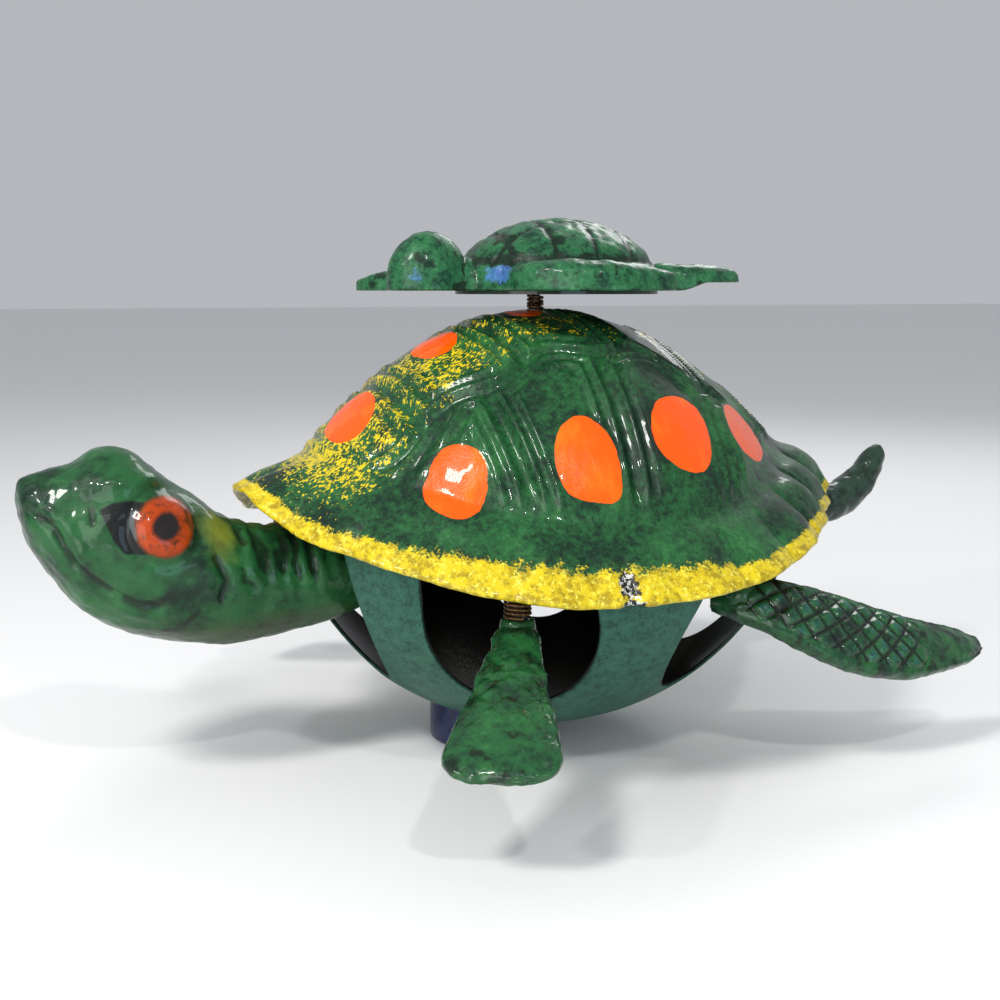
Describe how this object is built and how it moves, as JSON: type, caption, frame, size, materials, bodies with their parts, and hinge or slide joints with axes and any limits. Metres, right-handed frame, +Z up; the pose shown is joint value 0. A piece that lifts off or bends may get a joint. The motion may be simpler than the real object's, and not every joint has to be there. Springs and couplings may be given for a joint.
{
  "type": "bobbing turtle garden ornament",
  "caption": "Painted metal sea turtle on a windowed bowl stand; head, flippers, tail and a baby turtle on the shell bob on coil springs.",
  "frame": {"origin": "centre of the foot's flat bottom face", "axes": "+Z up; the turtle faces -Y and its left side is +X"},
  "size_m": [0.2658, 0.3436, 0.1907],
  "materials": {
    "shell_paint": "glossy green with yellow and orange markings",
    "head_paint": "glossy dark green, brushed",
    "limb_paint": "cast aluminium painted glossy dark green with black in the grooves",
    "baby_paint": "glossy mottled green",
    "cradle_paint": "teal green outside, black inside",
    "foot_paint": "glossy navy blue",
    "spring_steel": "rusty bronze spring wire",
    "plain_steel": "dark plain steel"
  },
  "bodies": {
    "root": {"baby_screw": "plain_steel", "cradle_leaf_left_front": "cradle_paint", "cradle_leaf_left_rear": "cradle_paint", "cradle_leaf_left_side": "cradle_paint", "cradle_leaf_right_front": "cradle_paint", "cradle_leaf_right_rear": "cradle_paint", "cradle_leaf_right_side": "cradle_paint", "cradle_pan": "cradle_paint", "foot": "foot_paint", "foot_screw": "plain_steel", "head_stud": "plain_steel", "left_front_flipper_stud": "plain_steel", "left_rear_flipper_stud": "plain_steel", "right_front_flipper_stud": "plain_steel", "right_rear_flipper_stud": "plain_steel", "shell": "shell_paint", "tail_stud": "plain_steel"},
    "head_coil": {"head_spring": "spring_steel"},
    "head": {"head": "head_paint", "head_pin": "plain_steel"},
    "tail_coil": {"tail_spring": "spring_steel"},
    "tail": {"tail": "limb_paint", "tail_pin": "plain_steel"},
    "left_front_flipper_coil": {"left_front_flipper_spring": "spring_steel"},
    "left_front_flipper": {"left_front_flipper": "limb_paint", "left_front_flipper_pin": "plain_steel"},
    "right_front_flipper_coil": {"right_front_flipper_spring": "spring_steel"},
    "right_front_flipper": {"right_front_flipper": "limb_paint", "right_front_flipper_pin": "plain_steel"},
    "left_rear_flipper_coil": {"left_rear_flipper_spring": "spring_steel"},
    "left_rear_flipper": {"left_rear_flipper": "limb_paint", "left_rear_flipper_pin": "plain_steel"},
    "right_rear_flipper_coil": {"right_rear_flipper_spring": "spring_steel"},
    "right_rear_flipper": {"right_rear_flipper": "limb_paint", "right_rear_flipper_pin": "plain_steel"},
    "baby_coil": {"baby_spring": "spring_steel"},
    "baby": {"baby_turtle": "baby_paint", "baby_plate": "baby_paint", "baby_pin": "plain_steel"}
  },
  "joints": [
    {"name": "head_nod", "type": "hinge", "parent": "root", "child": "head_coil", "pos_m": [0, -0.075, 0.094], "axis": [1, 0, 0], "range_deg": [-8, 8], "stiffness_Nm_per_rad": 2, "springref_deg": -2.86, "deforming": ["head_spring"]},
    {"name": "head_turn", "type": "hinge", "parent": "head_coil", "child": "head", "pos_m": [0, -0.075, 0.094], "axis": [0, 0, 1], "range_deg": [-10, 10], "stiffness_Nm_per_rad": 1},
    {"name": "tail_lift", "type": "hinge", "parent": "root", "child": "tail_coil", "pos_m": [0, 0.123, 0.093], "axis": [1, 0, 0], "range_deg": [-8, 8], "stiffness_Nm_per_rad": 1, "deforming": ["tail_spring"]},
    {"name": "tail_wag", "type": "hinge", "parent": "tail_coil", "child": "tail", "pos_m": [0, 0.123, 0.093], "axis": [0, 0, 1], "range_deg": [-10, 10], "stiffness_Nm_per_rad": 0.5},
    {"name": "left_front_flap", "type": "hinge", "parent": "root", "child": "left_front_flipper_coil", "pos_m": [0.07275, -0.023, 0.0705], "axis": [0.5, 0.866, 0], "range_deg": [-10, 10], "stiffness_Nm_per_rad": 1, "deforming": ["left_front_flipper_spring"]},
    {"name": "left_front_sweep", "type": "hinge", "parent": "left_front_flipper_coil", "child": "left_front_flipper", "pos_m": [0.07275, -0.023, 0.0705], "axis": [0, 0, 1], "range_deg": [-8, 8], "stiffness_Nm_per_rad": 0.5},
    {"name": "left_rear_flap", "type": "hinge", "parent": "root", "child": "left_rear_flipper_coil", "pos_m": [0.07275, 0.061, 0.0735], "axis": [0.95, -0.3122, 0], "range_deg": [-9, 9], "stiffness_Nm_per_rad": 1, "deforming": ["left_rear_flipper_spring"]},
    {"name": "left_rear_sweep", "type": "hinge", "parent": "left_rear_flipper_coil", "child": "left_rear_flipper", "pos_m": [0.07275, 0.061, 0.0735], "axis": [0, 0, 1], "range_deg": [-8, 8], "stiffness_Nm_per_rad": 0.5},
    {"name": "right_front_flap", "type": "hinge", "parent": "root", "child": "right_front_flipper_coil", "pos_m": [-0.07275, -0.023, 0.0705], "axis": [-0.5, 0.866, 0], "range_deg": [-10, 10], "stiffness_Nm_per_rad": 1, "deforming": ["right_front_flipper_spring"]},
    {"name": "right_front_sweep", "type": "hinge", "parent": "right_front_flipper_coil", "child": "right_front_flipper", "pos_m": [-0.07275, -0.023, 0.0705], "axis": [0, 0, 1], "range_deg": [-8, 8], "stiffness_Nm_per_rad": 0.5},
    {"name": "right_rear_flap", "type": "hinge", "parent": "root", "child": "right_rear_flipper_coil", "pos_m": [-0.07275, 0.061, 0.0735], "axis": [0.95, 0.3122, 0], "range_deg": [-9, 9], "stiffness_Nm_per_rad": 1, "deforming": ["right_rear_flipper_spring"]},
    {"name": "right_rear_sweep", "type": "hinge", "parent": "right_rear_flipper_coil", "child": "right_rear_flipper", "pos_m": [-0.07275, 0.061, 0.0735], "axis": [0, 0, 1], "range_deg": [-8, 8], "stiffness_Nm_per_rad": 0.5},
    {"name": "baby_rock", "type": "hinge", "parent": "root", "child": "baby_coil", "pos_m": [0, 0.019, 0.15685], "axis": [1, 0, 0], "range_deg": [-10, 10], "stiffness_Nm_per_rad": 1.5, "deforming": ["baby_spring"]},
    {"name": "baby_sway", "type": "hinge", "parent": "baby_coil", "child": "baby", "pos_m": [0, 0.019, 0.16065], "axis": [0, 1, 0], "range_deg": [-10, 10], "stiffness_Nm_per_rad": 1.5}
  ]
}
